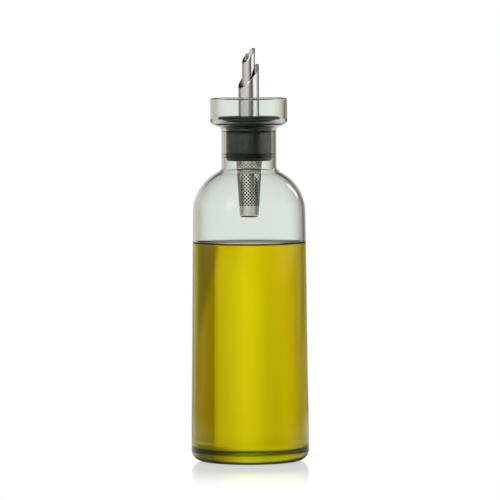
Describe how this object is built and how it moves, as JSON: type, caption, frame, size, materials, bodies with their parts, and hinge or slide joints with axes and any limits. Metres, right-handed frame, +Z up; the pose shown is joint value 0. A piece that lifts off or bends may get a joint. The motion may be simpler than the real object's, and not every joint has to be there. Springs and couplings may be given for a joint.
{
  "type": "oil and vinegar dispenser",
  "caption": "Tapered clear glass dispenser bottle with a cup-shaped mouth, closed by a black stopper with nested slant-cut steel pouring tubes and a hanging perforated steel sieve.",
  "frame": {"origin": "centre of the base, on the surface that the bottle stands on", "axes": "+Z up along the bottle's axis, +X towards the higher side of the tubes' slanted mouths"},
  "size_m": [0.0706, 0.0706, 0.247],
  "materials": {
    "clear_glass": "clear, fire polished",
    "black_plastic": "satin moulded",
    "black_silicone": "matte",
    "polished_steel": "polished stainless steel"
  },
  "bodies": {
    "bottle": {"glass_bottle": "clear_glass"},
    "seals": {"upper_lip_seal": "black_silicone", "lower_lip_seal": "black_silicone"},
    "stopper": {"stopper_body": "black_plastic", "tube_carrier": "black_plastic", "drip_tube": "polished_steel", "pour_tube": "polished_steel"},
    "sieve": {"sieve": "polished_steel"}
  },
  "joints": [
    {"name": "stopper_lift", "type": "slide", "parent": "bottle", "child": "seals", "axis": [0, 0, 1], "range_m": [0, 0.08]},
    {"name": "stopper_turn", "type": "hinge", "parent": "seals", "child": "stopper", "pos_m": [0, 0, 0.19], "axis": [0, 0, 1], "continuous": true},
    {"name": "sieve_pull", "type": "slide", "parent": "stopper", "child": "sieve", "axis": [0, 0, -1], "range_m": [0, 0.012]}
  ]
}
